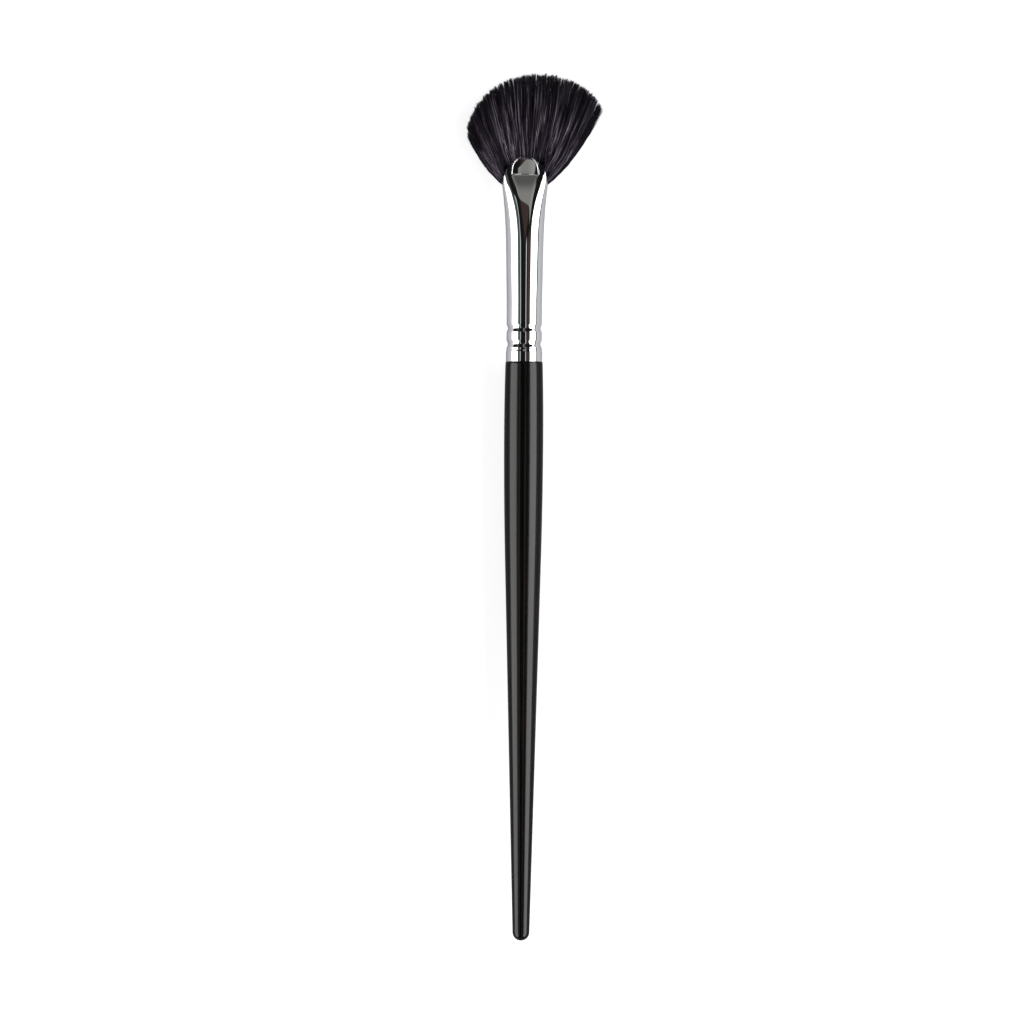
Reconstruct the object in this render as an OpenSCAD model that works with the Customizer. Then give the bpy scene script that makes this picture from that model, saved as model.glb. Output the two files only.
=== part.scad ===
// Fan makeup brush, lying as it rests on a table.
// The brush is drawn along +Y, with the handle's shoulder at Y = 0, the hair ahead of it
// and the handle's tail behind it, and is then laid down on Z = 0.

/* [Handle] */
// Length of the bare handle, from the ferrule to the tail's tip
handle_len = 133.4; // [110:1:160]
// Diameter of the shoulder that the ferrule butts against
shoulder_d = 8.6; // [8.5:0.1:9]
// Diameter of the belly, the thickest place of the handle
belly_d = 9.05; // [9:0.05:12]
// Distance of the belly from the shoulder
belly_pos = 16.6; // [10:0.5:30]
// Length over which the belly curves into the straight taper
belly_run = 29.3; // [10:1:50]
// Diameter at the tail, where the round end begins
tail_d = 3.92; // [3:0.1:6]
// Bevel that breaks the shoulder's edge
shoulder_bevel = 0.12; // [0.05:0.01:0.15]

/* [Ferrule tube] */
// Outer diameter of the round tube
tube_d = 8.2; // [8:0.05:8.3]
// Thickness of the sheet metal
wall = 0.35; // [0.25:0.05:0.5]
// Length of the tube that stays round
round_len = 14; // [12:0.5:18]
// Diameter of the flared collar at the handle's end
collar_d = 8.42; // [8.35:0.01:8.48]
// Length of the collar
collar_len = 2.2; // [1:0.1:2.4]
// Length over which the collar runs into the tube
collar_run = 0.7; // [0.3:0.1:1]
// Number of crimps rolled into the tube
crimp_count = 2; // [1:1:2]
// Distance of the first crimp from the handle's shoulder
crimp_pos = 4.25; // [4:0.05:4.5]
// Distance from one crimp to the next
crimp_pitch = 3.65; // [3:0.05:5]
// Depth of a crimp
crimp_depth = 0.22; // [0.1:0.01:0.3]
// Width of a crimp at the tube's surface
crimp_w = 1.4; // [1:0.1:1.8]

/* [Ferrule head] */
// Width of the flattened mouth
mouth_w = 10.5; // [9.5:0.1:12]
// Height of the mouth over its two pressed flats
mouth_h = 3.8; // [3.6:0.1:5]
// Distance of the mouth's corners from the handle's shoulder
mouth_pos = 40.6; // [36:0.5:46]
// Height of the domed front and back edges above the corners
dome_h = 6.6; // [4:0.1:8]
// Growth of the half width for each millimetre of the tapered body
body_taper = 0.018; // [0.005:0.001:0.03]
// Distance from the corners back to where the press begins to bite
press_run = 14; // [12:0.5:18]
// How late the press bites deep: the exponent of the flat's fall to the crease
press_power = 3; // [2:0.1:4]
// Distance of the crease from the mouth's corners
crease_up = 2.5; // [1.5:0.1:3]
// Width of the flat at the crease
crease_w = 6.3; // [5:0.1:7]
// Width of the flat where it starts
flat_w = 1.8; // [1.4:0.1:2]
// Depth to which the half-moon tongue is struck below its rim
tongue_sink = 0.12; // [0.05:0.01:0.2]
// Width of the rim round the tongue
rim_w = 0.22; // [0.1:0.02:0.4]
// Inward draw of the mouth's very edge
lip_draw = 0.1; // [0.02:0.02:0.15]

/* [Hair fan] */
// Length of the longest hairs from the middle of the mouth
fan_reach = 27; // [20:0.2:32]
// Direction of the longest hairs, from straight ahead towards +X
fan_lean = 26; // [0:1:30]
// How much shorter the hairs are at the low side's end
fan_cut = 8.2; // [0:0.2:12]
// How much shorter the outermost hairs are, which rounds the fan's corners
corner_cut = 1.2; // [0:0.1:2]
// Half angle of the fan at its tips
fan_spread = 46.2; // [30:0.2:55]
// Turn of the whole fan towards +X
fan_turn = -2.4; // [-6:0.2:6]
// Angle at which the outermost hairs leave the mouth
exit_angle = 54; // [40:1:60]
// Share of a hair's length over which it bends
bend_share = 0.36; // [0.3:0.02:0.5]
// Thickness of the fan where it is fullest
fan_thick = 8; // [5:0.1:8.4]
// Place of the fullest thickness, as a share of the hair's length
full_share = 0.62; // [0.5:0.02:0.7]
// Number of locks that the fan falls into on each face
lock_count = 44; // [20:1:48]
// Depth of the furrows between the locks, as a share of the thickness
relief_share = 0.07; // [0:0.01:0.1]
// Depth of the notches between the lock tips
tip_notch = 0.9; // [0.4:0.1:1.6]

/* [Glue and fits] */
// Length of the plug of set glue behind the hair roots
glue_len = 8; // [6:0.5:10]
// Clearance between the handle's tenon and the tube
tenon_gap = 0.05; // [0.02:0.01:0.1]
// Clearance between the glue plug and the metal
glue_gap = 0.03; // [0.02:0.01:0.08]
// Clearance between the hair and the metal
hair_gap = 0.12; // [0.08:0.01:0.2]

/* [Hidden] */
$fn = 96;

// Sizes that follow from the ones above
tube_r = tube_d / 2;
belly_r = belly_d / 2;
tail_r = tail_d / 2;
crease_pos = mouth_pos + crease_up;
dome_top = mouth_pos + dome_h;
press_pos = mouth_pos - press_run;
root_pos = round_len + glue_len;
tail_slope = (belly_r - tail_r) / (handle_len - tail_r - belly_pos - belly_run / 2);

// Steps in which curves are drawn
belly_steps = 8;
shoulder_steps = 6;
tail_steps = 8;

// Columns in a quarter of the ferrule's section, and how many of them lie on the flat
quarter_cols = 14;
flat_cols = 3;
ring_cols = 4 * quarter_cols;

// Rows of the ferrule's head: as shares of the way up to the crease, then on to the edge
body_rows = [0, 0.22, 0.43, 0.51, 0.58, 0.65, 0.72, 0.78, 0.84, 0.89, 0.93, 0.965, 1];
edge_rows = [0.06, 0.3, 0.55, 0.78, 0.93, 1];

// Exponents of the mouth's domed edge, of the half-moon tongue's outline, and of the body's
// section where it is flattest
dome_power = 2.15;
tongue_power = 2.6;
mouth_power = 3.4;
// Exponents of the flaring sides, of the widening flat and of the section's own change
flare_power = 2.2;
flat_power = 2.6;
change_power = 2.7;
// Length over which the pressed flat becomes truly flat, and the place where it has done so
flat_run = 8;
flat_pos = press_pos + flat_run;
// Least height that a column's edge rows take up
edge_run = 1.2;
// Height by which the half-moon's outline would overshoot the domed edge
tongue_over = 0.05;
// Draw-in of the head's first ring, which seats it within the tube's end
seat_in = 0.01;
// Number of halvings by which a place or an angle is found
halvings = 24;
// Angles between which the brush's resting dip is looked for
least_dip_angle = -2;
most_dip_angle = 4;

// Fall from 1 at 0 to 0 at 1, along a quarter of a rounded outline of the given exponent
function round_off(t, power) = pow(max(1 - pow(min(abs(t), 1), power), 0), 1 / power);

// Smooth step from 0 at lo to 1 at hi
function ramp(lo, hi, s) =
    let (t = min(max((s - lo) / (hi - lo), 0), 1))
    t * t * (3 - 2 * t);

// Plain step in a straight line from 0 at lo to 1 at hi
function share(lo, hi, s) = min(max((s - lo) / (hi - lo), 0), 1);

// Number from 0 to 1 that jumps about from one index to the next
function scatter(i, k) =
    let (n = sin(i * 97.3 + k * 53.7) * 1000)
    n - floor(n);

// Radius of the handle at a distance d behind its shoulder, up to the round tail
function handle_r(d) =
    let (back = d - belly_pos)
    back < 0 ? belly_r - (belly_r - shoulder_d / 2) * pow(back / belly_pos, 2)
    : back < belly_run ? belly_r - tail_slope * pow(back, 2) / (2 * belly_run)
    : belly_r - tail_slope * (back - belly_run / 2);

// Outline of the handle as [radius, place along the axis], from the shoulder to the tail's tip
handle_outline = concat(
    [[shoulder_d / 2 - shoulder_bevel, 0]],
    [for (i = [0:shoulder_steps])
        let (d = i == 0 ? shoulder_bevel : belly_pos * i / shoulder_steps)
        [handle_r(d), -d]],
    [for (i = [1:belly_steps])
        let (d = belly_pos + belly_run * i / belly_steps)
        [handle_r(d), -d]],
    [for (i = [0:tail_steps])
        let (turn = 90 * i / tail_steps)
        [tail_r * cos(turn), -(handle_len - tail_r) - tail_r * sin(turn)]]
);

// Half width of the ferrule at s: round, then tapering wider, then flaring to the mouth
function side_x(s) =
    let (
        taper = body_taper * max(min(s, mouth_pos) - round_len, 0),
        flare = mouth_w / 2 - tube_r - body_taper * (mouth_pos - round_len)
    )
    tube_r + taper + flare * pow(share(press_pos, mouth_pos, s), flare_power);

// Half width of the pressed flat at s: a trumpet up to the crease, and beyond it a half-moon
function flat_x(s) =
    s < crease_pos
    ? flat_w / 2 + (crease_w - flat_w) / 2 * pow(share(press_pos, crease_pos, s), flat_power)
    : crease_w / 2 * round_off((s - crease_pos) / (dome_top + tongue_over - crease_pos), tongue_power);

// Height of the flat's edge at s: on the round tube, then down an ever steeper slope to the
// crease, and level along the tongue
function rim_height(s) =
    let (top = sqrt(pow(tube_r, 2) - pow(flat_w / 2, 2)))
    top - (top - mouth_h / 2) * pow(share(press_pos, crease_pos, s), press_power);

// Exponent of the section's rounded sides at s
function side_power(s) = 2 + (mouth_power - 2) * pow(share(press_pos, crease_pos, s), change_power);

// One point of a quarter of the section at s, drawn in by t: column 0 is the middle of the
// flat and the last column is the side
function quarter_point(c, s, t, sunk = 0) =
    let (
        a = side_x(s) - t,
        w = flat_x(s) * a / side_x(s),
        n = side_power(s),
        h = rim_height(s) - t,
        b = h / round_off(w / a, n),
        first = asin(pow(w / a, n / 2)),
        turn = first + (90 - first) * (c - flat_cols - 1) / (quarter_cols - flat_cols - 1),
        x = (w - rim_w) * c / flat_cols,
        round_z = b * round_off(x / a, n)
    )
    c <= flat_cols
    ? [x, round_z + (h - round_z) * ramp(press_pos, flat_pos, s) - sunk]
    : c == quarter_cols ? [a, 0]
    : [a * pow(sin(turn), 2 / n), b * pow(cos(turn), 2 / n)];

// Height of the section's inside over x at s, drawn in by t
function inside_z(x, s, t) =
    let (
        a = side_x(s) - t,
        w = flat_x(s) * a / side_x(s),
        n = side_power(s),
        h = rim_height(s) - t,
        b = h / round_off(w / a, n),
        sunk = s > mouth_pos ? tongue_sink : 0
    )
    min(b * round_off(x / a, n), h - sunk);

// Place of the mouth's edge over x
function dome_s(x) = mouth_pos + dome_h * round_off(x / (mouth_w / 2), dome_power);

// Place where a column of the head meets the domed edge, found by halving the range
function column_top(c, lo = mouth_pos, hi = dome_top, left = halvings) =
    let (mid = (lo + hi) / 2)
    left == 0 ? mid
    : dome_s(quarter_point(c, mid, 0).x) > mid ? column_top(c, mid, hi, left - 1)
    : column_top(c, lo, mid, left - 1);

column_tops = [for (c = [0:quarter_cols]) column_top(c)];
column_creases = [for (c = [0:quarter_cols]) min(crease_pos, column_tops[c] - edge_run)];

// Column of a quarter to which column k of the whole ring belongs
function quarter_col(k) =
    let (step = k % quarter_cols)
    floor(k / quarter_cols) % 2 == 0 ? step : quarter_cols - step;

// Point of the whole ring at s, whose column k takes its place from the point p of a quarter
function ring_point(k, s, p) =
    let (part = floor(k / quarter_cols))
    [part < 2 ? p.x : -p.x, s, part == 0 || part == 3 ? p.y : -p.y];

// One point of the head: ring column k, row i, drawn in by t
function head_point(k, i, t) =
    let (
        c = quarter_col(k),
        low = i < len(body_rows),
        up = low ? 0 : edge_rows[i - len(body_rows)],
        crease = column_creases[c],
        s = low ? round_len + (crease - round_len) * body_rows[i] : crease + (column_tops[c] - crease) * up,
        turned = up == 1 && t == 0 ? lip_draw : 0,
        seat = i > 0 ? 0 : t == 0 ? seat_in : -seat_in
    )
    ring_point(k, s, quarter_point(c, s, t + turned + seat, up > 0 ? tongue_sink : 0));

// Faces between two rows of a ring that starts at point number first
function band(first, rows, inward) = [
    for (i = [0:rows - 2], k = [0:ring_cols - 1])
        let (
            a = first + i * ring_cols + k,
            b = first + i * ring_cols + (k + 1) % ring_cols,
            c = b + ring_cols,
            d = a + ring_cols
        )
        inward ? [a, b, c, d] : [a, d, c, b]
];

// Faces that join an outer ring to an inner one
function rim_band(outer, inner, ahead) = [
    for (k = [0:ring_cols - 1])
        let (next = (k + 1) % ring_cols)
        ahead ? [outer + k, inner + k, inner + next, outer + next]
        : [outer + k, outer + next, inner + next, inner + k]
];

// Everything within the round tube's skin, drawn in by t, as a half profile of length run
module tube_profile(t, run) {
    crimp_r = (pow(crimp_w / 2, 2) + pow(crimp_depth, 2)) / (2 * crimp_depth);
    difference() {
        polygon([
            [0, 0],
            [collar_d / 2 - t, 0],
            [collar_d / 2 - t, collar_len],
            [tube_r - t, collar_len + collar_run],
            [tube_r - t, run],
            [0, run]
        ]);
        for (i = [0:crimp_count - 1])
            translate([tube_r + crimp_r - crimp_depth, crimp_pos + i * crimp_pitch])
                circle(r = crimp_r + t);
    }
}

// Turns a half profile round the brush's axis
module turned() {
    rotate([-90, 0, 0])
        rotate_extrude()
            children();
}

// Turned hardwood handle, lacquered black, with a tenon that the ferrule is crimped on
module handle() {
    color([0.09, 0.08, 0.08])
        laid_down() {
            turned()
                polygon(concat([[0, 0]], handle_outline));
            turned()
                tube_profile(wall + tenon_gap, round_len);
        }
}

// Plated brass ferrule: a round tube with rolled crimps, drawn out into a flattened head
module ferrule() {
    rows = len(body_rows) + len(edge_rows);
    outer = 0;
    inner = rows * ring_cols;
    last = (rows - 1) * ring_cols;
    color([0.8, 0.81, 0.83])
        laid_down() {
            turned()
                difference() {
                    tube_profile(0, round_len);
                    tube_profile(wall, round_len);
                }
            polyhedron(
                points = [
                    for (t = [0, wall], i = [0:rows - 1], k = [0:ring_cols - 1])
                        head_point(k, i, t)
                ],
                faces = concat(
                    band(outer, rows, false),
                    band(inner, rows, true),
                    rim_band(outer, inner, false),
                    rim_band(outer + last, inner + last, true)
                )
            );
        }
}

// Plug of set glue that fills the tube behind the hair roots
module glue_plug() {
    rows = 3;
    t = wall + glue_gap;
    rings = [
        for (i = [0:rows - 1], k = [0:ring_cols - 1])
            let (s = round_len + glue_len * i / (rows - 1))
            ring_point(k, s, quarter_point(quarter_col(k), s, t))
    ];
    color([0.75, 0.62, 0.35])
        laid_down()
            polyhedron(
                points = rings,
                faces = concat(
                    band(0, rows, false),
                    [[for (k = [0:ring_cols - 1]) k]],
                    [[for (k = [ring_cols - 1:-1:0]) (rows - 1) * ring_cols + k]]
                )
            );
}

// Columns of the fan: two for each lock, its ridge and the furrow beside it
fan_cols = 2 * lock_count;
// Rows of the fan within the ferrule, then along the free hair as shares of its length
root_rows = [for (up = [0, 0.35, 0.6, 0.82]) root_pos + (mouth_pos - root_pos) * up];
free_rows = [0, 0.06, 0.12, 0.18, 0.24, 0.3, 0.38, 0.48, 0.58, 0.68, 0.78, 0.87, 0.94, 1];
fan_rows = len(root_rows) + len(free_rows);
// Distance past the mouth's edge over which the hair stays as slim as within it
clear_of_edge = 0.8;
// Further clearance of the free hair where it passes the mouth's edges and side notches
clear_of_notch = 0.42;
root_x = mouth_w / 2 - wall - hair_gap;
// Share of the middle hairs' length that the ferrule's tongues cover
covered_share = 0.21;
// Thickness of the fan in the mouth, as a share of the room there
slim_share = 0.9;
// Exponents of the fan's section across its width and of its fall to the tips
edge_power = 3;
fall_power = 1.8;
fall_round = 0.7;
// Exponent that keeps the rounding of the fan's corners to the outermost hairs
corner_power = 10;
// Least half thickness of the fan away from its rim
least_z = 0.06;
// Shares of the hair's length between which the furrows set in
furrow_from_share = 0.1;
furrow_to_share = 0.45;
// Least and most depth of a furrow, and most of a ridge, as multiples of the relief
furrow_least_ratio = 1.4;
furrow_more_ratio = 0.6;
ridge_more_ratio = 0.6;

// Direction of hair u, from -1 to 1 across the fan, and its tip's distance from the mouth
function hair_angle(u) = fan_turn + fan_spread * u;
function hair_reach(u) =
    fan_reach - corner_cut * pow(abs(u), corner_power)
    - fan_cut * pow((hair_angle(u) - fan_lean) / (hair_angle(-1) - fan_lean), 2);

// Free hair u at the share v of its length: it leaves the mouth splayed out and bends towards
// its tip
function hair_xs(u, v, trim) =
    let (
        angle = hair_angle(u),
        far = hair_reach(u) - trim,
        tip = [far * sin(angle), mouth_pos + far * cos(angle)],
        root = [root_x * u, mouth_pos],
        bend = bend_share * norm(tip - root),
        knee = root + bend * [sin(exit_angle * u), cos(exit_angle * u)]
    )
    pow(1 - v, 2) * root + 2 * v * (1 - v) * knee + pow(v, 2) * tip;

// Half thickness of the fan along the hair: slim in the mouth, full, then fine at the tips
function fan_body(u, v) =
    let (
        slim = slim_share * inside_z(0, mouth_pos, wall + hair_gap),
        full = fan_thick / 2,
        late = share(full_share, 1, v)
    )
    v < full_share
    ? slim + (full - slim) * ramp(covered_share * sqrt(1 - u * u), full_share, v)
    : full * pow(max(1 - pow(late, fall_power), 0), fall_round);

// One point of the fan's upper face: column j, row i
function fan_point(j, i) =
    let (
        u = j / lock_count - 1,
        v = i < len(root_rows) ? 0 : free_rows[i - len(root_rows)],
        ridge = j % 2,
        t = wall + hair_gap,
        trim = tip_notch * (ridge == 1 ? ridge_more_ratio * scatter(j, 2) : 0.5 + scatter(j, 1)),
        sway = ridge * (scatter(j, 3) - 0.5) * v * v / lock_count,
        p = i < len(root_rows)
            ? [u * (side_x(root_rows[i]) - t), root_rows[i]]
            : hair_xs(u + sway, v, abs(u) == 1 ? 0 : trim),
        lens = sqrt(1 - pow(abs(u), edge_power)),
        depth = ridge == 1
            ? ridge_more_ratio * scatter(j, 4)
            : furrow_least_ratio + furrow_more_ratio * scatter(j, 4),
        deep = relief_share * depth * share(furrow_from_share, furrow_to_share, v),
        free_z = fan_body(u, v) * lens * (1 - deep),
        past = max(p.y - dome_s(p.x) - clear_of_edge, 0),
        near_z = inside_z(p.x, min(p.y, crease_pos), t + clear_of_notch) + past,
        on_rim = abs(u) == 1 || i == fan_rows - 1,
        z = on_rim ? 0
            : i < len(root_rows) ? inside_z(p.x, p.y, t)
            : max(min(near_z, free_z), least_z)
    )
    [p.x, p.y, z];

fan_top = [for (i = [0:fan_rows - 1], j = [0:fan_cols]) fan_point(j, i)];
fan_bottom = [for (i = [0:fan_rows - 2], j = [1:fan_cols - 1])
    let (p = fan_top[i * (fan_cols + 1) + j])
    [p.x, p.y, -p.z]];

// Numbers of the points on the upper and the lower face, which share the fan's rim
function top_no(i, j) = i * (fan_cols + 1) + j;
function bottom_no(i, j) =
    i == fan_rows - 1 || j == 0 || j == fan_cols ? top_no(i, j)
    : len(fan_top) + i * (fan_cols - 1) + j - 1;

// The two halves of a four-sided face, cut from its second to its last corner or else from its
// first to its third
function halves(q, lean) =
    lean ? [[q[0], q[1], q[3]], [q[1], q[2], q[3]]] : [[q[0], q[1], q[2]], [q[0], q[2], q[3]]];

// Tuft of dark hair, splayed into a fan and parted into fine locks: the faces of its left half
// are cut one way and those of its right half the other, so that no cut joins the shared rims
module hair_tuft() {
    color([0.2, 0.17, 0.21])
        laid_down()
            polyhedron(
                points = concat(fan_top, fan_bottom),
                faces = concat(
                    [for (i = [0:fan_rows - 2], j = [0:fan_cols - 1]) each halves([
                        top_no(i, j), top_no(i + 1, j),
                        top_no(i + 1, j + 1), top_no(i, j + 1)
                    ], j < lock_count)],
                    [for (i = [0:fan_rows - 2], j = [0:fan_cols - 1]) each halves([
                        bottom_no(i, j), bottom_no(i, j + 1),
                        bottom_no(i + 1, j + 1), bottom_no(i + 1, j)
                    ], j < lock_count)],
                    [concat(
                        [for (j = [0:fan_cols]) top_no(0, j)],
                        [for (j = [fan_cols - 1:-1:1]) bottom_no(0, j)]
                    )]
                )
            );
}

// Depth below the axis to which the handle, and then the ferrule's head and the fan, reach when
// the axis dips by an angle
head_top = [
    for (i = [0:len(body_rows) + len(edge_rows) - 1], k = [0:quarter_cols])
        head_point(k, i, 0)
];
function handle_depth(dip) = max([for (p = handle_outline) p.x * cos(dip) + p.y * sin(dip)]);
function front_depth(dip) = max([for (p = concat(head_top, fan_top)) p.z * cos(dip) + p.y * sin(dip)]);

// Dip at which the brush rests on the handle's belly and on its front, found by halving
function resting_dip(lo = least_dip_angle, hi = most_dip_angle, left = halvings) =
    let (mid = (lo + hi) / 2)
    left == 0 ? mid
    : handle_depth(mid) > front_depth(mid) ? resting_dip(mid, hi, left - 1)
    : resting_dip(lo, mid, left - 1);

rest_pitch = resting_dip();
rest_height = max(handle_depth(rest_pitch), front_depth(rest_pitch));
fan_xs = [for (p = fan_top) p.x];
fan_ys = [for (p = fan_top) p.y];
mid_x = (max(fan_xs) + min(fan_xs)) / 2;
mid_y = (max(fan_ys) - handle_len) / 2 * cos(rest_pitch);

// Lays the brush on Z = 0, with the middle of its outline over the origin
module laid_down() {
    translate([-mid_x, -mid_y, rest_height])
        rotate([-rest_pitch, 0, 0])
            children();
}

handle();
ferrule();
hair_tuft();
glue_plug();
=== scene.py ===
import bpy
import numpy as np
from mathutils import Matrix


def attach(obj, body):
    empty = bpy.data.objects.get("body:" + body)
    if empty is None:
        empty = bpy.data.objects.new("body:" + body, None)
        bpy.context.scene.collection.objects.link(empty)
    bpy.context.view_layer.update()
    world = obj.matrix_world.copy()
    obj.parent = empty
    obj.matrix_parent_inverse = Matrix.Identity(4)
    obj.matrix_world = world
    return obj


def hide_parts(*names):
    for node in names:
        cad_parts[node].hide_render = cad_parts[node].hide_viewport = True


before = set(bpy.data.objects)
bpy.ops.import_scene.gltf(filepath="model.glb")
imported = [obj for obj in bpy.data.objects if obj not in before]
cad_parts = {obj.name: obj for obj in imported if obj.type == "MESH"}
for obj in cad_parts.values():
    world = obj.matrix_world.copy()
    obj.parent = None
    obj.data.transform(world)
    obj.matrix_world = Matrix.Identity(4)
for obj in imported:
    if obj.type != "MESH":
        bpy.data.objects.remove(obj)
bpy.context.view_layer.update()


# The studio
# The brush lies on a white table and is seen from straight above. A tall soft box stands on
# either side of it, the room overhead is dark with two slim strips of light in it, and a grey
# card leans over the end where the hair is, past the far ends of the boxes.
photo_px = 1024
photo_scale = 0.2307e-3
camera_lens = 180
camera_sensor = 36
camera_middle = (-0.00466, -0.00128)
camera_turn = np.radians(0.32)
camera_clip_end = 10
subject_height = 0.0045
camera_reach = photo_px * photo_scale * camera_lens / camera_sensor

camera_data = bpy.data.cameras.new("camera")
camera_data.lens = camera_lens
camera_data.sensor_width = camera_sensor
camera_data.clip_end = camera_clip_end
camera = bpy.data.objects.new("camera", camera_data)
camera.location = (*camera_middle, subject_height + camera_reach)
camera.rotation_euler = (0, 0, camera_turn)
bpy.context.scene.collection.objects.link(camera)
bpy.context.scene.camera = camera
bpy.context.scene.view_settings.view_transform = "Standard"

# Each soft box: its name, its side, the heights of its lower and upper edges, how far it reaches
# towards the hair, and its radiance. Both begin at the same place behind the tail.
box_away = 0.5
box_near = -0.85
box_sides = (("left", -1, 0.02, 0.55, 0.28, 2.5), ("right", 1, 0.08, 0.66, 0.48, 2.9))

for side, sign, box_low, box_high, box_far, radiance in box_sides:
    box_tall = box_high - box_low
    box_run = box_far - box_near
    lamp_data = bpy.data.lights.new("soft_box_" + side, "AREA")
    lamp_data.shape = "RECTANGLE"
    lamp_data.size = box_tall
    lamp_data.size_y = box_run
    lamp_data.energy = radiance * np.pi * box_tall * box_run
    lamp = bpy.data.objects.new("soft_box_" + side, lamp_data)
    lamp.location = (sign * box_away, (box_far + box_near) / 2, (box_high + box_low) / 2)
    lamp.rotation_euler = (0, sign * np.pi / 2, 0)
    lamp.visible_camera = False
    bpy.context.scene.collection.objects.link(lamp)


def add_node(tree, kind, settings, feeds):
    """A new shader node, with its properties set and its sockets, by name or number, given a
    value or fed from another node's output."""
    new = tree.nodes.new("ShaderNode" + kind)
    for name, value in settings.items():
        setattr(new, name, value)
    for socket, value in feeds.items():
        if isinstance(value, bpy.types.NodeSocket):
            tree.links.new(value, new.inputs[socket])
        else:
            new.inputs[socket].default_value = value
    return new


def calc(tree, operation, first, second=0):
    """The output of a Math node on two values or outputs."""
    return add_node(tree, "Math", {"operation": operation}, {0: first, 1: second}).outputs[0]


def smooth_step(tree, value, limits):
    """An output that goes smoothly from 0, where the value is at the first limit, to 1, where
    it is at the second, whichever of the two is the higher."""
    feeds = {0: value, 1: limits[0], 2: limits[1]}
    return add_node(tree, "MapRange", {"interpolation_type": "SMOOTHSTEP"}, feeds).outputs[0]


def mixed(tree, part, first, second):
    """The output of a colour mix: the first colour where the part is 0, the second where it
    is 1."""
    feeds = {"Factor": part, 6: first, 7: second}
    return add_node(tree, "Mix", {"data_type": "RGBA"}, feeds).outputs[2]


# The room is drawn by direction: how far across the brush it points, how far along it towards
# the hair, and how far up. Each pair of limits is where a shade begins and where it is full.
ambient_level = (0.2, 0.2, 0.2, 1)
room_level = (0.009, 0.009, 0.009, 1)
white_level = (1, 1, 1, 1)
overhead_up = (0.3, 0.5)
brown_level = (0.062, 0.046, 0.04, 1)
brown_across = (0.3, 0.35)
brown_along = (0.14, 0.06)
wing_level = (0.09, 0.095, 0.095, 1)
wing_across = (-0.5, -0.54)
warm_level = (0.05, 0.034, 0.029, 1)
warm_along = (0.05, 0.16)
warm_left = (-0.12, -0.02)
warm_right = (0.15, 0.09)

world = bpy.data.worlds.new("room")
bpy.context.scene.world = world
world.use_nodes = True
tree = world.node_tree
tree.nodes.clear()
direction = add_node(tree, "TexCoord", {}, {}).outputs["Generated"]
across, along, upward = add_node(tree, "SeparateXYZ", {}, {0: direction}).outputs
on_brown = calc(
    tree, "MULTIPLY", smooth_step(tree, across, brown_across), smooth_step(tree, along, brown_along)
)
shade = mixed(tree, on_brown, room_level, brown_level)
shade = mixed(tree, smooth_step(tree, across, wing_across), shade, wing_level)
past_left = calc(
    tree, "MULTIPLY", smooth_step(tree, along, warm_along), smooth_step(tree, across, warm_left)
)
on_warm = calc(tree, "MULTIPLY", past_left, smooth_step(tree, across, warm_right))
shade = mixed(tree, on_warm, shade, warm_level)

# Each strip: its place across, its half width, how far along it runs, and its level.
strips = (
    (-0.425, 0.05, 0.3, (0.5, 0.58, 0.59, 1)),
    (0.17, 0.04, 0.07, (0.68, 0.68, 0.67, 1)),
)
strip_core = 0.7
strip_fade = 0.04

for strip_place, half_width, strip_end, level in strips:
    from_middle = calc(tree, "ABSOLUTE", calc(tree, "SUBTRACT", across, strip_place))
    on_strip = smooth_step(tree, from_middle, (half_width, half_width * strip_core))
    within_end = smooth_step(tree, along, (strip_end + strip_fade, strip_end))
    shade = mixed(tree, calc(tree, "MULTIPLY", on_strip, within_end), shade, level)

# The card's near edge and its right edge are turned, so that each leans on the other direction.
# It is darker towards its far end and paler on its two sides.
card_edge = (0.34, 0.352)
card_lean = 0.65
card_left = (-0.13, -0.11)
card_right = (0.4, 0.37)
card_right_lean = 0.45
card_near_level = (0.225, 0.225, 0.211, 1)
card_far_level = (0.095, 0.095, 0.09, 1)
card_side_level = (0.31, 0.31, 0.29, 1)
card_dims = (0.45, 0.64)
card_pales = (0.03, 0.17)

past_edge = calc(tree, "ADD", along, calc(tree, "MULTIPLY", across, card_lean))
past_right = calc(tree, "ADD", across, calc(tree, "MULTIPLY", along, card_right_lean))
between = calc(
    tree, "MULTIPLY", smooth_step(tree, across, card_left), smooth_step(tree, past_right, card_right)
)
on_card = calc(tree, "MULTIPLY", smooth_step(tree, past_edge, card_edge), between)
card = mixed(tree, smooth_step(tree, along, card_dims), card_near_level, card_far_level)
off_middle = calc(tree, "ABSOLUTE", across)
card = mixed(tree, smooth_step(tree, off_middle, card_pales), card, card_side_level)
shade = mixed(tree, on_card, shade, card)
shade = mixed(tree, smooth_step(tree, upward, overhead_up), room_level, shade)
seen = add_node(tree, "LightPath", {}, {})
lit = mixed(tree, seen.outputs["Is Glossy Ray"], ambient_level, shade)
lit = mixed(tree, seen.outputs["Is Camera Ray"], lit, white_level)
background = add_node(tree, "Background", {}, {"Color": lit})
add_node(tree, "OutputWorld", {}, {"Surface": background.outputs[0]})

# The camera sees the table lifted to white, with the brush's shadow still on it.
table_half = 3.0
table_colour = (0.67, 0.67, 0.69, 1)
table_lift = 0.66
table_corners = [
    (-table_half, -table_half, 0), (table_half, -table_half, 0),
    (table_half, table_half, 0), (-table_half, table_half, 0),
]

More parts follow.
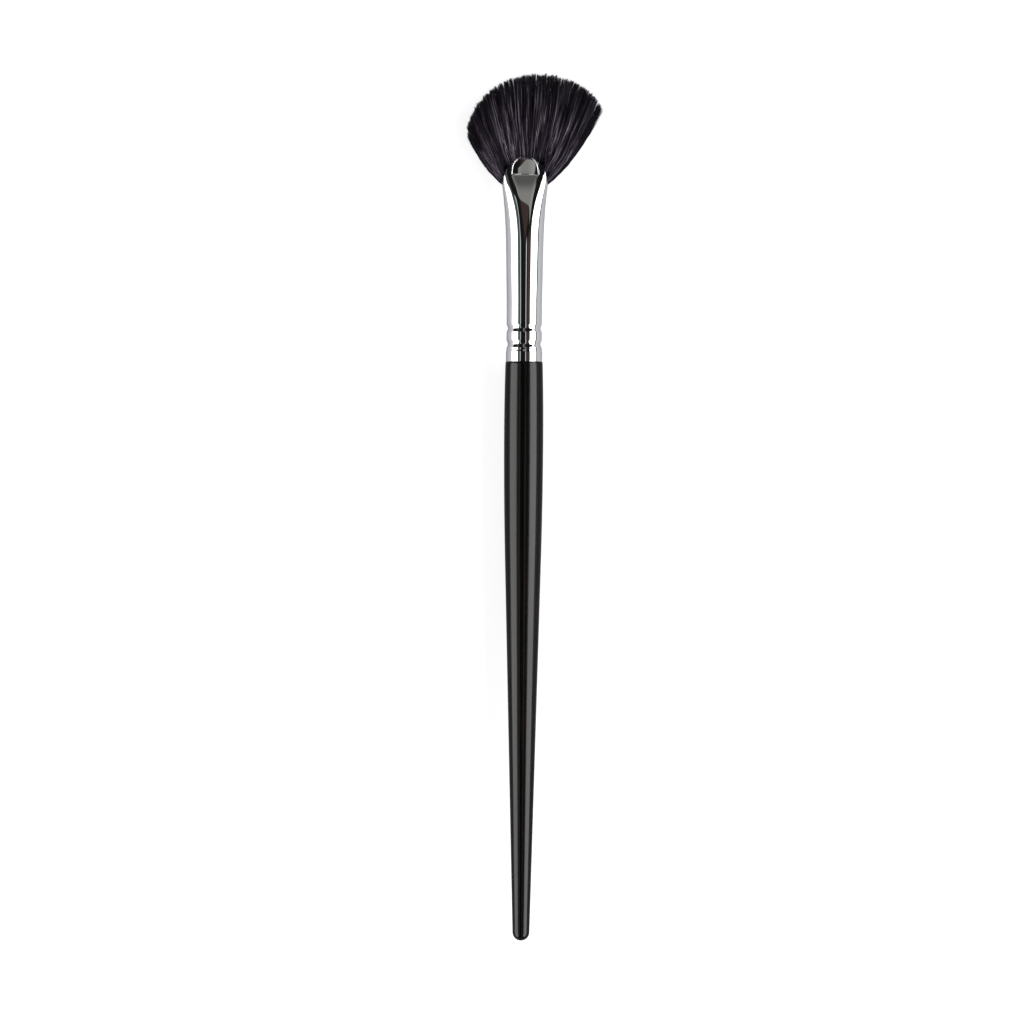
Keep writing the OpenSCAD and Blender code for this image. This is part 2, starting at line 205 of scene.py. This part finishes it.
table_mesh = bpy.data.meshes.new("table")
table_mesh.from_pydata(table_corners, [], [(0, 1, 2, 3)])
table = bpy.data.objects.new("table", table_mesh)
bpy.context.scene.collection.objects.link(table)
paint = bpy.data.materials.new("table_white")
paint.use_nodes = True
tree = paint.node_tree
tree.nodes.clear()
matt = add_node(tree, "BsdfDiffuse", {}, {"Color": table_colour})
seen = add_node(tree, "LightPath", {}, {})
lift = calc(tree, "MULTIPLY", seen.outputs["Is Camera Ray"], table_lift)
glow = add_node(tree, "Emission", {}, {"Strength": lift})
both = add_node(tree, "AddShader", {}, {0: matt.outputs[0], 1: glow.outputs[0]})
add_node(tree, "OutputMaterial", {}, {"Surface": both.outputs[0]})
table_mesh.materials.append(paint)


# The ferrule
# A thin brass tube, nickel plated and polished. It is round at the handle, where a flared
# collar and two rolled crimps hold it on, and is then drawn out wider and pressed flat, with a
# half-moon struck into the mouth's domed lip on either face.

# Shapes are worked out in the brush's own millimetres: x across it, s along it from the
# handle's shoulder towards the hair, z up. It lies on its belly and on its fan, so that its
# axis dips a little towards the hair.
rest_dip = np.radians(0.554903)
rest_height = 4.39261
middle_x = 2.06581
middle_s = -33.3445
mm_in_metre = 1000


def laid(x, s, z):
    """Brush millimetres to metres in the frame: turned down by the dip about the cross axis,
    then shifted so that the brush rests on the table with the origin under its middle."""
    y = s * np.cos(rest_dip) + z * np.sin(rest_dip)
    up = z * np.cos(rest_dip) - s * np.sin(rest_dip)
    points = np.stack(np.broadcast_arrays(x - middle_x, y - middle_s, up + rest_height), axis=-1)
    return points / mm_in_metre


def share(low, high, s):
    """A straight climb from 0 at low to 1 at high."""
    return np.clip((s - low) / (high - low), 0, 1)


def ramp(low, high, s):
    """A smooth climb from 0 at low to 1 at high: three squares less two cubes of the share."""
    t = share(low, high, s)
    return t * t * (3 - 2 * t)


def soft_least(first, second, blend):
    """The lesser of two values, rounded over where they cross: within the blend, a quarter of
    it times the square of the share of it that is left is taken off."""
    near = np.maximum(blend - np.abs(first - second), 0) / blend
    return np.minimum(first, second) - near * near * blend / 4


def round_off(t, power):
    """The fall from 1 at 0 to 0 at 1 along a quarter of a rounded outline: the root of one
    less a power."""
    return np.maximum(1 - np.minimum(np.abs(t), 1) ** power, 0) ** (1 / power)


def net_faces(rows, columns, closed):
    """Four-sided faces between the rows of a grid whose columns close into a ring, and whose
    last row, where closed, joins its first."""
    i = np.arange(rows if closed else rows - 1)[:, None]
    j = np.arange(columns)[None, :]
    up = (i + 1) % rows
    over = (j + 1) % columns
    corners = [i * columns + j, i * columns + over, up * columns + over, up * columns + j]
    return np.stack(np.broadcast_arrays(*corners), axis=-1).reshape(-1, 4)


def add_piece(name, points, faces, material, node):
    """A smooth mesh piece on the brush's one body, in place of the node named."""
    mesh = bpy.data.meshes.new(name)
    mesh.from_pydata(points.reshape(-1, 3), [], faces)
    mesh.polygons.foreach_set("use_smooth", np.ones(len(mesh.polygons), bool))
    mesh.materials.append(material)
    piece = bpy.data.objects.new(name, mesh)
    bpy.context.scene.collection.objects.link(piece)
    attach(piece, "root")
    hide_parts(node)
    return piece


tube_r = 4.1
wall = 0.35
round_len = 14
body_taper = 0.018
collar_r = 4.21
collar_len = 2.2
collar_run = 0.7
collar_bevel = 0.06
crimp_places = (4.1, 7.75)
crimp_depth = 0.33
crimp_slope = 0.415
crimp_bottom = 0.08
crimp_blend = 0.05


def tube_radius(s, t):
    """Radius of the round tube at s, drawn in by t: a collar that runs into the tube, with a
    groove with straight sides and a round bottom rolled in at each crimp."""
    radius = collar_r + (tube_r - collar_r) * ramp(collar_len, collar_len + collar_run, s) - t
    for place in crimp_places:
        climb = crimp_slope * (np.hypot(s - place, crimp_bottom) - crimp_bottom)
        radius = soft_least(radius, tube_r - crimp_depth + climb - t, crimp_blend)
    return radius


mouth_w = 10.5
mouth_h = 3.8
mouth_pos = 40.6
mouth_power = 3.7
dome_h = 6.6
dome_power = 2.15
press_run = 14
press_power = 3
change_power = 3.1
flare_power = 2.2
flat_w = 1.8
flat_run = 8
flat_power = 2.6
flat_crown = 0.03
least_flat = 0.1
edge_blend = 0.07
crease_up = 2.5
crease_w = 6.3
tongue_power = 2.6
tongue_over = 0.05

crease_pos = mouth_pos + crease_up
dome_top = mouth_pos + dome_h
moon_reach = dome_top + tongue_over - crease_pos
press_pos = mouth_pos - press_run
flat_pos = press_pos + flat_run
flare = mouth_w / 2 - tube_r - body_taper * (mouth_pos - round_len)
flat_top = np.sqrt(tube_r**2 - (flat_w / 2) ** 2)


def side_x(s):
    """Half width at s: round, then a straight taper, then a flare that grows as a power."""
    taper = body_taper * np.maximum(np.minimum(s, mouth_pos) - round_len, 0)
    return tube_r + taper + flare * share(press_pos, mouth_pos, s) ** flare_power


def flat_x(s):
    """Half width of the pressed flat at s: a trumpet that grows as a power up to the crease,
    then a half-moon that rounds off."""
    trumpet = flat_w / 2 + (crease_w - flat_w) / 2 * share(press_pos, crease_pos, s) ** flat_power
    moon = crease_w / 2 * round_off((s - crease_pos) / moon_reach, tongue_power)
    return np.where(s < crease_pos, trumpet, moon)


def rim_height(s):
    """Height of the flat at s: the tube's own, then falling as a power to the crease."""
    return flat_top - (flat_top - mouth_h / 2) * share(press_pos, crease_pos, s) ** press_power


def side_power(s):
    """Exponent of the section's rounded sides at s: a circle's 2, then growing as a power."""
    return 2 + (mouth_power - 2) * share(press_pos, crease_pos, s) ** change_power


def section(s, t):
    """What shapes the section at s, drawn in by t: its half width, the flat's half width, its
    exponent, the flat's height, and the height to which the sides alone would round."""
    a = side_x(s) - t
    w = flat_x(s) * a / side_x(s)
    n = side_power(s)
    h = rim_height(s) - t
    return a, w, n, h, h / round_off(w / a, n)


def dome_s(x):
    """Place of the mouth's edge over x: a dome that rounds off towards the sides."""
    return mouth_pos + dome_h * round_off(x / (mouth_w / 2), dome_power)


# A ring goes round the tube in four quarters. Each has its columns on the flat, crowded towards
# the flat's edge, and on the rounded side, crowded towards the same edge.
flat_steps = 34
flat_crowding = 1.7
side_steps = 28
side_crowding = 1.5

flat_share = 1 - (1 - np.arange(flat_steps + 1) / flat_steps) ** flat_crowding
side_share = (np.arange(1, side_steps + 1) / side_steps) ** side_crowding
quarter_steps = flat_steps + side_steps
ring_steps = 4 * quarter_steps
ring_part, ring_step = np.divmod(np.arange(ring_steps), quarter_steps)
ring_column = np.where(ring_part % 2 == 0, ring_step, quarter_steps - ring_step)
ring_x_sign = np.where(ring_part < 2, 1, -1)
ring_z_sign = np.where((ring_part == 0) | (ring_part == 3), 1, -1)


def quarter_x(s, t):
    """Place across the brush of a quarter's columns: shares of the flat, then turns of the
    rounded side from the flat's edge to the very side. s has a column for each."""
    a, w, n, _, _ = section(s, t)
    on_flat = (w * np.ones_like(s))[..., : flat_steps + 1] * flat_share
    first = np.arcsin((w / a) ** (n / 2))[..., flat_steps + 1:]
    turn = first + (np.pi / 2 - first) * side_share
    on_side = a[..., flat_steps + 1:] * np.sin(turn) ** (2 / n[..., flat_steps + 1:])
    return np.concatenate([on_flat, on_side], axis=-1)


def quarter_z(x, s, t):
    """Height of the section over x: its rounded side, pressed down to the flat where that is
    lower, with the edge between them softly rounded and the flat itself a little crowned."""
    a, w, n, h, b = section(s, t)
    rounded = b * round_off(x / a, n)
    over = rounded - h
    pressed = over - soft_least(over, 0 * over, edge_blend)
    crown = flat_crown * np.minimum(x / np.maximum(w, least_flat), 1) ** 2 * (s < crease_pos)
    return rounded - ramp(press_pos, flat_pos, s) * (pressed + crown)


tongue_sink = 0.12
rim_arc_w = 0.2
rim_crease_w = 0.16
rim_bead = 0.009
rim_step = 0.12
dish_slope = 0.23
dish_ease = 14
dish_bow = 0.02
lip_fall = 0.38
lip_fall_edge = 0.08
least_rho = 1e-6


def moon_place(x, s):
    """A place on the half-moon: how far it is up from the crease, its share of the way out to
    the arc, and how far it is from the arc."""
    up = np.maximum(s - crease_pos, 0)
    powers = (np.abs(x) / (crease_w / 2)) ** tongue_power + (up / moon_reach) ** tongue_power
    rho = powers ** (1 / tongue_power)
    return up, rho, np.maximum(1 - rho, 0) * np.hypot(x, up) / np.maximum(rho, least_rho)


def half_moon(x, s):
    """How far the half-moon is struck below the flat: within its rim a panel that sinks away
    from the crease and bows a little across."""
    up, _, from_arc = moon_place(x, s)
    inside_arc = ramp(rim_arc_w - rim_step, rim_arc_w, from_arc)
    within = inside_arc * ramp(rim_crease_w - rim_step, rim_crease_w, up)
    panel = dish_slope * up * (1 - up / dish_ease) + dish_bow * x * x
    return within * (tongue_sink + panel)


def half_moon_rim(x, s):
    """Height of the half-moon's rim: along its arc and its crease a bead whose section is a
    squared sine."""
    up, _, from_arc = moon_place(x, s)
    arc_bead = np.sin(np.pi * share(0, rim_arc_w, from_arc)) ** 2
    crease_bead = np.sin(np.pi * share(0, rim_crease_w, up)) ** 2 * ramp(0, rim_arc_w, from_arc)
    return rim_bead * np.maximum(arc_bead, crease_bead)


def lip_drop(x, s):
    """How far the lip falls on past the crease, on either side of the half-moon: a curve that
    starts with the slope of the press and eases off towards the dome's top."""
    up, rho, _ = moon_place(x, np.minimum(s, dome_s(x)))
    beyond = np.maximum(rho - 1, 0) * np.hypot(x, up)
    return lip_fall * up * (1 - up / (2 * dome_h)) * ramp(0, lip_fall_edge, beyond)


top_halvings = 30
edge_run = 1.2
lip_draw = 0.1
lip_run = 0.3
lip_bulge = 0.06
tube_rows = 110
body_rows = 84
edge_rows = 84
inner_rows = 14


def column_tops():
    """Where each column of a quarter meets the domed edge, by halving the range."""
    low = np.full(quarter_steps + 1, float(mouth_pos))
    high = np.full(quarter_steps + 1, float(dome_top))
    for _ in range(top_halvings):
        middle = (low + high) / 2
        inside = dome_s(quarter_x(middle, 0)) > middle
        low = np.where(inside, middle, low)
        high = np.where(inside, high, middle)
    return (low + high) / 2


def whole_ring(x, s, z):
    """The four quarters of the ring from one, as points in the frame."""
    x, s, z = (value[:, ring_column] for value in np.broadcast_arrays(x, s, z))
    return laid(x * ring_x_sign, s, z * ring_z_sign)


def head_rows(rows_below, rows_above, t):
    """The head's rings from the round tube to the mouth's edge, drawn in by t. The outer
    face's lip rounds inwards at its very edge."""
    tops = column_tops()
    creases = np.minimum(crease_pos, tops - edge_run)
    below = np.linspace(0, 1, rows_below)[1:, None]
    above = (np.arange(1, rows_above + 1) / rows_above)[:, None]
    s = np.concatenate([round_len + (creases - round_len) * below, creases + (tops - creases) * above])
    draw = lip_draw * share(lip_run, 0, tops - s) ** 2 if t == 0 else 0
    x = quarter_x(s, t + draw)
    z = quarter_z(x, s, t + draw)
    on_moon = (np.arange(quarter_steps + 1) <= flat_steps) & (s > crease_pos)
    struck = half_moon(x, s) - (t == 0) * half_moon_rim(x, s)
    return x, s, z - np.where(on_moon, struck, lip_drop(x, s))


def tube_rings(s, t):
    """The round tube's rings at s, drawn in by t, with the columns of the head's first ring."""
    base = np.full((1, quarter_steps + 1), float(round_len))
    x = quarter_x(base, 0) / tube_r
    z = quarter_z(x * tube_r, base, 0) / tube_r
    radius = tube_radius(s, t)[:, None]
    return whole_ring(radius * x, s[:, None], radius * z)


outer_s = np.concatenate([[0, collar_bevel], np.linspace(collar_bevel, round_len, tube_rows)[1:]])
outer_t = np.where(np.arange(len(outer_s)) == 0, collar_bevel, 0)
outer_tube = tube_rings(outer_s, outer_t)
outer_head = whole_ring(*head_rows(body_rows, edge_rows, 0))
inner_head = whole_ring(*head_rows(inner_rows * 2, inner_rows, wall))[::-1]
lip = (outer_head[-1] + inner_head[0]) / 2 + [0, lip_bulge / mm_in_metre, 0]
inner_tube = tube_rings(np.linspace(round_len, 0, inner_rows), wall)
ferrule_rings = np.concatenate([outer_tube, outer_head, lip[None], inner_head, inner_tube])


def new_finish(name):
    """A new material, with its node tree and its Principled shader."""
    material = bpy.data.materials.new(name)
    material.use_nodes = True
    return material, material.node_tree, material.node_tree.nodes["Principled BSDF"]


def noise(tree, waves, detail, mix=0.5):
    """A noise with so many waves a metre across, along and up the brush, and finer ones."""
    place = add_node(tree, "TexCoord", {}, {}).outputs["Object"]
    scaled = add_node(tree, "Mapping", {}, {"Vector": place, "Scale": waves}).outputs[0]
    feeds = {"Vector": scaled, "Scale": 1.0, "Detail": detail, "Roughness": mix}
    return add_node(tree, "TexNoise", {}, feeds).outputs["Fac"]


def remapped(tree, value, limits, results):
    """An output that goes straight from the first result to the second between the limits."""
    feeds = {0: value, 1: limits[0], 2: limits[1], 3: results[0], 4: results[1]}
    return add_node(tree, "MapRange", {}, feeds).outputs[0]


plate_colour = (0.86, 0.86, 0.875, 1)
plate_waves = (1800, 120, 1800)
plate_detail = 4.0
plate_limits = (0.3, 0.8)
plate_rough = (0.02, 0.05)

plate, tree, shader = new_finish("plated_nickel")
shader.inputs["Metallic"].default_value = 1
shader.inputs["Base Color"].default_value = plate_colour
hairlines = noise(tree, plate_waves, plate_detail)
tree.links.new(remapped(tree, hairlines, plate_limits, plate_rough), shader.inputs["Roughness"])
ferrule_faces = net_faces(len(ferrule_rings), ring_steps, True)
add_piece("ferrule_plated", ferrule_rings, ferrule_faces, plate, "ferrule")


# The handle
# Hardwood turned on a lathe: a belly just behind the shoulder, a long taper and a round tail,
# with a tenon that the ferrule is crimped on. It is stained black, and its lacquer is satin,
# so that the grain shows through.
handle_len = 133.4
shoulder_r = 4.3
shoulder_bevel = 0.12
belly_r = 4.525
belly_pos = 16.6
belly_run = 29.3
tail_r = 1.96
tenon_gap = 0.05
turned_steps = 96
tail_rows = 24
tenon_rows = 60
rod_rows = 150
rod_from = 0.6
tail_slope = (belly_r - tail_r) / (handle_len - tail_r - belly_pos - belly_run / 2)


def handle_radius(d):
    """Radius at a distance d behind the shoulder: an arch up to the belly, a curve down from
    it, and a straight taper, up to the round tail."""
    back = d - belly_pos
    rising = belly_r - (belly_r - shoulder_r) * (back / belly_pos) ** 2
    falling = belly_r - tail_slope * back * back / (2 * belly_run)
    tapering = belly_r - tail_slope * (back - belly_run / 2)
    return np.where(back < 0, rising, np.where(back < belly_run, falling, tapering))


def turned_rings(radius, s):
    """A profile carried round the brush's axis: one ring for each radius and place."""
    angle = np.arange(turned_steps) / turned_steps * 2 * np.pi
    return laid(radius[:, None] * np.sin(angle), s[:, None], radius[:, None] * np.cos(angle))


tail_turn = np.linspace(0, np.pi / 2, tail_rows)
rod_d = np.concatenate([[shoulder_bevel], np.linspace(rod_from, handle_len - tail_r, rod_rows)])
tenon_s = np.linspace(0, round_len, tenon_rows)[::-1]
profile_r = np.concatenate([
    [0], tube_radius(tenon_s, wall + tenon_gap),
    [shoulder_r - shoulder_bevel], handle_radius(rod_d), tail_r * np.cos(tail_turn[1:]),
])
profile_s = np.concatenate([
    [round_len], tenon_s,
    [0], -rod_d, -(handle_len - tail_r) - tail_r * np.sin(tail_turn[1:]),
])
profile_r[-1] = 0

stain_black = (0.0015, 0.0012, 0.001, 1)
stain_brown = (0.02, 0.011, 0.006, 1)
fibre_waves = (2600, 70, 2600)
fibre_detail = 5.0
fibre_mix = 0.6
band_waves = (420, 14, 420)
band_detail = 3.0
brown_fibres = (0.45, 0.75)
brown_bands = (0.35, 0.7)
satin_limits = (0.3, 0.75)
satin_rough = (0.2, 0.3)
wood_shine = 0.06
coat_ior = 1.5
coat_rough = 0.17
coat_dulls = (0.24, 0.4)
coat_dulled_by = 0.9
facing_blend = 0.5
pore_strength = 0.25
pore_depth = 0.00003

lacquer, tree, shader = new_finish("black_lacquer")
grain = noise(tree, fibre_waves, fibre_detail, fibre_mix)
bands = noise(tree, band_waves, band_detail)
brown = calc(tree, "MULTIPLY", smooth_step(tree, grain, brown_fibres), smooth_step(tree, bands, brown_bands))
tree.links.new(mixed(tree, brown, stain_black, stain_brown), shader.inputs["Base Color"])
tree.links.new(remapped(tree, grain, satin_limits, satin_rough), shader.inputs["Roughness"])
shader.inputs["Specular IOR Level"].default_value = wood_shine
shader.inputs["Coat IOR"].default_value = coat_ior
shader.inputs["Coat Roughness"].default_value = coat_rough

# The lacquer's shine weakens towards the rod's edges, where it is seen at a slant.
facing = add_node(tree, "LayerWeight", {}, {"Blend": facing_blend}).outputs["Facing"]
dulled = calc(tree, "MULTIPLY", smooth_step(tree, facing, coat_dulls), coat_dulled_by)
tree.links.new(calc(tree, "SUBTRACT", 1, dulled), shader.inputs["Coat Weight"])

pore_feeds = {"Strength": pore_strength, "Distance": pore_depth, "Height": grain}
pores = add_node(tree, "Bump", {}, pore_feeds).outputs[0]
tree.links.new(pores, shader.inputs["Normal"])
handle_rings = turned_rings(profile_r, profile_s)
handle_faces = net_faces(len(handle_rings), turned_steps, False)
add_piece("handle_lacquered", handle_rings, handle_faces, lacquer, "handle")


# The glue
# A plug of clear amber glue, poured into the tube behind the hair's roots, where it has set.
# The mouth and the hair hide it.
glue_deep = (0.62, 0.46, 0.2, 1)
glue_pale = (0.78, 0.66, 0.4, 1)
glue_rough = 0.25
glue_waves = (700, 700, 700)
glue_detail = 3.0

glue, tree, shader = new_finish("set_glue")
shader.inputs["Roughness"].default_value = glue_rough
clouds = noise(tree, glue_waves, glue_detail)
tree.links.new(mixed(tree, clouds, glue_deep, glue_pale), shader.inputs["Base Color"])
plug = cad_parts["glue_plug"]
plug.data.materials.clear()
plug.data.materials.append(glue)


# The hair
# Fine dark hair, glued into the mouth and splayed into a fan that is cut at a slant. The hairs
# lie in thin wisps and lean together into pointed locks at the rim, where the outermost are
# loose. A few wisps on top carry painted highlights, and the deeper wisps painted shade.
fan_reach = 27
fan_lean = 26
fan_cut = 8.2
fan_spread = 46.2
fan_turn = -2.4
fan_thick = 8
corner_cut = 0.8
corner_power = 10
exit_angle = 54
bend_share = 0.36
full_share = 0.62
covered_share = 0.21
slim_share = 0.9
edge_power = 3
fall_power = 1.8
fall_round = 0.7
hair_gap = 0.12
clear_of_edge = 0.8
clear_of_notch = 0.42
least_z = 0.06
root_x = mouth_w / 2 - wall - hair_gap


def hair_reach(u):
    """Distance of the tip of hair u from the mouth's middle: most towards the lean, less by a
    square on the low side, and rounded off at the fan's corners."""
    angle = fan_turn + fan_spread * u
    low = ((angle - fan_lean) / (fan_turn - fan_spread - fan_lean)) ** 2
    return fan_reach - corner_cut * np.minimum(np.abs(u), 1) ** corner_power - fan_cut * low


def hair_line(u, v, trim):
    """Place of hair u, from -1 to 1 across the fan, at the share v of its length: a curve of
    three points that leaves the mouth splayed out and bends towards its tip."""
    angle = np.radians(fan_turn + fan_spread * u)
    far = hair_reach(u) - trim
    tip_x = far * np.sin(angle)
    tip_s = mouth_pos + far * np.cos(angle)
    bend = bend_share * np.hypot(tip_x - root_x * u, tip_s - mouth_pos)
    leaving = np.radians(exit_angle * u)
    knee_x = root_x * u + bend * np.sin(leaving)
    knee_s = mouth_pos + bend * np.cos(leaving)
    x = (1 - v) ** 2 * root_x * u + 2 * v * (1 - v) * knee_x + v * v * tip_x
    s = (1 - v) ** 2 * mouth_pos + 2 * v * (1 - v) * knee_s + v * v * tip_s
    return x, s


def room_within(x, s, t):
    """Height of the ferrule's inside over x at s, drawn in by t: its rounded side or its flat,
    whichever is lower."""
    a, _, n, h, b = section(s, t)
    return np.minimum(b * round_off(x / a, n), h - np.where(s > mouth_pos, tongue_sink, 0))


def fan_half(u, v):
    """Half thickness of the fan at hair u and share v: slim in the mouth, then full, then
    falling to nothing at the tips, and lens-shaped across the fan."""
    slim = slim_share * room_within(0.0, float(mouth_pos), wall + hair_gap)
    full = fan_thick / 2
    inside = np.minimum(np.abs(u), 1)
    growing = slim + (full - slim) * ramp(covered_share * np.sqrt(1 - inside**2), full_share, v)
    falling = full * np.maximum(1 - share(full_share, 1, v) ** fall_power, 0) ** fall_round
    return np.where(v < full_share, growing, falling) * np.sqrt(1 - inside**edge_power)


def hair_room(u, v, x, s):
    """Half thickness that the hair may fill: the fan's own, held down by the mouth's lips
    until it is past them."""
    past = np.maximum(s - dome_s(x) - clear_of_edge, 0)
    near = room_within(x, np.minimum(s, crease_pos), wall + hair_gap + clear_of_notch)
    near = near - lip_drop(x, s) + past
    return np.maximum(np.minimum(near, fan_half(u, v)), least_z)


# How the hairs part. Shifts and spreads are shares of a lock's width, but that of the loose
# hairs is a share of half the fan. Trims, waves and thicknesses are in millimetres. Each hair's
# colour runs from 0, the darkest hair, to 1, the palest, and carries painted light: painted
# highlights on a few wisps on top and painted shade on the deeper layers.
lock_count = 84
lock_layers = 4
wisps_in_lock = 4
hairs_in_wisp = 5
hair_sides = 3
hair_shares = np.array([-0.08, 0.02, 0.14, 0.27, 0.4, 0.53, 0.66, 0.79, 0.91, 1])
hair_thick = 0.1
thick_shares = (0.75, 1.2)
thins_from = 0.6
thins_by = 0.8
lock_shift = 0.2
lock_trim_most = 0.5
wisp_trim_most = 0.5
hair_trim_most = 1.2
hair_trim_power = 3
gather_wide = 1.4
gather_by = 1.0
gather_from = 0.88
wisp_spread = 0.5
hair_spread = 0.1
hair_closes_by = 0.6
drift_spread = 0.9
drift_to = 0.8
loose_from = 0.93
loose_spread = 0.06
loose_power = 1.5
wave_turns = (1, 3)
wisp_wave = 0.17
hair_wave = 0.04
wave_grows = 3
level_stray = 0.04
least_level = 0.02
glint_share = 0.075
glint_level = 1.2
glint_power = 3
glint_of_wisp = (0.3, 1)
glint_of_hair = (0.5, 1)
dusk_level = 0.12
dusk_of_hair = (0.3, 1.3)
dim_sides_by = 0.65
dim_sides_power = 1.3
chance_seed = 11

chance = np.random.default_rng(chance_seed)
lock_middle = np.arange(lock_count) + 0.5 + lock_shift * chance.uniform(-1, 1, lock_count)
lock_tip = lock_middle * 2 / lock_count - 1
lock_trim = lock_trim_most * chance.uniform(0, 1, lock_count)


def waves_along(v, shape):
    """A sine wave along each hair, with its own number of turns and its own start."""
    turns = chance.uniform(*wave_turns, shape)
    start = chance.uniform(0, 1, shape)
    return np.sin(2 * np.pi * (v * turns + start))


def hair_paths(face, left, right):
    """The hairs of one face of the fan from lock left to lock right, as a row each of places
    across, along and up, of thicknesses and of colour values that carry painted light. Each hair
    keeps to its wisp all the way, and its wisp is drawn in to its lock's line at the tip. The
    wisps of a lock lie in layers, each at the square root of its share of the room, and those
    with painted highlights lie on top, while the deeper layers are given painted shade."""
    locks = np.arange(left, right)
    v = hair_shares
    of_lock = (len(locks), 1, 1, 1, 1)
    of_wisp = (len(locks), lock_layers, wisps_in_lock, 1, 1)
    of_hair = (len(locks), lock_layers, wisps_in_lock, hairs_in_wisp, 1)
    pitch = 2 / lock_count

    gather = gather_wide - gather_by * ramp(gather_from, 1, v)
    wisp_u = pitch * wisp_spread * gather * chance.uniform(-1, 1, of_wisp)
    hair_u = pitch * hair_spread * (1 - hair_closes_by * v) * chance.uniform(-1, 1, of_hair)
    lock_u = lock_tip[locks].reshape(of_lock)
    loose = np.sign(lock_u) * loose_spread * (np.abs(lock_u) > loose_from)
    loose = loose * chance.uniform(0, 1, of_hair) ** 2
    drift = pitch * drift_spread * (v - 0.5) * chance.uniform(-1, 1, of_wisp)
    drift = drift * (1 - ramp(drift_to, 1, v))
    u = lock_u + wisp_u + hair_u + drift + loose * np.maximum(v, 0) ** loose_power

    layer = np.arange(lock_layers).reshape(1, -1, 1, 1, 1)
    level = (layer + chance.uniform(0, 1, of_wisp)) / lock_layers
    has_glint = chance.uniform(0, 1, of_wisp) < glint_share
    level = np.where(has_glint, 1, level) + level_stray * chance.uniform(-1, 1, of_hair)
    level = np.clip(level, least_level, 1)

    wave = wisp_wave * waves_along(v, of_wisp) + hair_wave * waves_along(v, of_hair)
    trim = lock_trim[locks].reshape(of_lock) + wisp_trim_most * chance.uniform(0, 1, of_wisp)
    trim = trim + hair_trim_most * chance.uniform(0, 1, of_hair) ** hair_trim_power
    x, s = hair_line(u, v, trim)
    x = x + wave * np.minimum(wave_grows * np.abs(v), 1)
    z = face * hair_room(u, np.maximum(v, 0), x, s) * np.sqrt(level)
    thick = hair_thick * chance.uniform(*thick_shares, of_hair) * (1 - thins_by * ramp(thins_from, 1, v))

    # Painted highlights: a few wisps on top get pale streaks along their length, standing in for the soft
    # boxes' glints on the hair.
    glint = glint_level * chance.uniform(0, 1, of_wisp[:-1] + v.shape) ** glint_power
    glint = glint * chance.uniform(*glint_of_wisp, of_wisp)
    # Each wisp's and hair's colour differs at random, and painted shade darkens the deeper layers by the
    # square of their level. All of it is dimmed towards the fan's sides.
    tone_with_depth_shade = dusk_level * chance.uniform(0, 1, of_wisp) ** 2
    tone_with_depth_shade = tone_with_depth_shade * chance.uniform(*dusk_of_hair, of_hair) * level**2
    tone_and_painted_light = tone_with_depth_shade + has_glint * glint * chance.uniform(*glint_of_hair, of_hair)
    tone_and_painted_light = tone_and_painted_light * (1 - dim_sides_by * np.abs(lock_u) ** dim_sides_power)
    return [value.reshape(-1, len(v)) for value in np.broadcast_arrays(x, s, z, thick, tone_and_painted_light)]


def hair_tubes(x, s, z, thick):
    """Three-sided tubes along the hairs' paths, as points in the frame, four-sided faces and
    end caps: at each point of a path a ring square to it, half the thickness out. No point
    goes below the table."""
    count, places = x.shape
    along = np.stack([np.gradient(value, axis=1) for value in (x, s, z)], axis=-1)
    along /= np.linalg.norm(along, axis=-1, keepdims=True)
    flatwise = np.stack([along[..., 1], -along[..., 0], 0 * x], axis=-1)
    flatwise /= np.linalg.norm(flatwise, axis=-1, keepdims=True)
    upright = np.cross(flatwise, along)
    angle = np.arange(hair_sides) / hair_sides * 2 * np.pi + np.pi / 2
    ring = flatwise[:, :, None] * np.cos(angle)[:, None] + upright[:, :, None] * np.sin(angle)[:, None]
    points = np.stack([x, s, z], axis=-1)[:, :, None] + ring * thick[..., None, None] / 2
    points = laid(points[..., 0], points[..., 1], points[..., 2])
    points[..., 2] = np.maximum(points[..., 2], 0)
    per_hair = places * hair_sides
    starts = np.arange(count)[:, None, None] * per_hair
    quads = (starts + net_faces(places, hair_sides, False)).reshape(-1, 4)
    ends = np.array([np.arange(hair_sides)[::-1], per_hair - hair_sides + np.arange(hair_sides)])
    caps = (starts + ends).reshape(-1, hair_sides)
    return points, quads, caps


# The pale end of the hair's colours is mostly painted highlight; the dark end is the hair's own colour.
hair_dark = (0.008, 0.0052, 0.0108, 1)
hair_pale_and_glint = (0.9, 0.77, 0.98, 1)
hair_rough = 0.5
hair_shine = 0.07

dark_hair, tree, shader = new_finish("dark_hair")
tone_and_light_of_point = add_node(tree, "Attribute", {"attribute_name": "tone_and_painted_light"}, {}).outputs["Fac"]
tree.links.new(mixed(tree, tone_and_light_of_point, hair_dark, hair_pale_and_glint), shader.inputs["Base Color"])
shader.inputs["Roughness"].default_value = hair_rough
shader.inputs["Specular IOR Level"].default_value = hair_shine


def add_hair(name, face, left, right):
    """One piece of the fan's hair, with its colour values, painted highlights and shade among them, kept as
    an attribute of its points.
    """
    x, s, z, thick, tone_and_painted_light = hair_paths(face, left, right)
    points, quads, caps = hair_tubes(x, s, z, thick)
    faces = quads.tolist() + caps.tolist()
    piece = add_piece(name, points, faces, dark_hair, "hair_tuft")
    tones_and_painted_light = np.repeat(tone_and_painted_light.reshape(-1), hair_sides).astype(np.float32)
    piece.data.attributes.new("tone_and_painted_light", "FLOAT", "POINT").data.foreach_set("value", tones_and_painted_light)


for face, face_name in ((1, "upper"), (-1, "lower")):
    add_hair(f"hair_{face_name}_left", face, 0, lock_count // 2)
    add_hair(f"hair_{face_name}_right", face, lock_count // 2, lock_count)
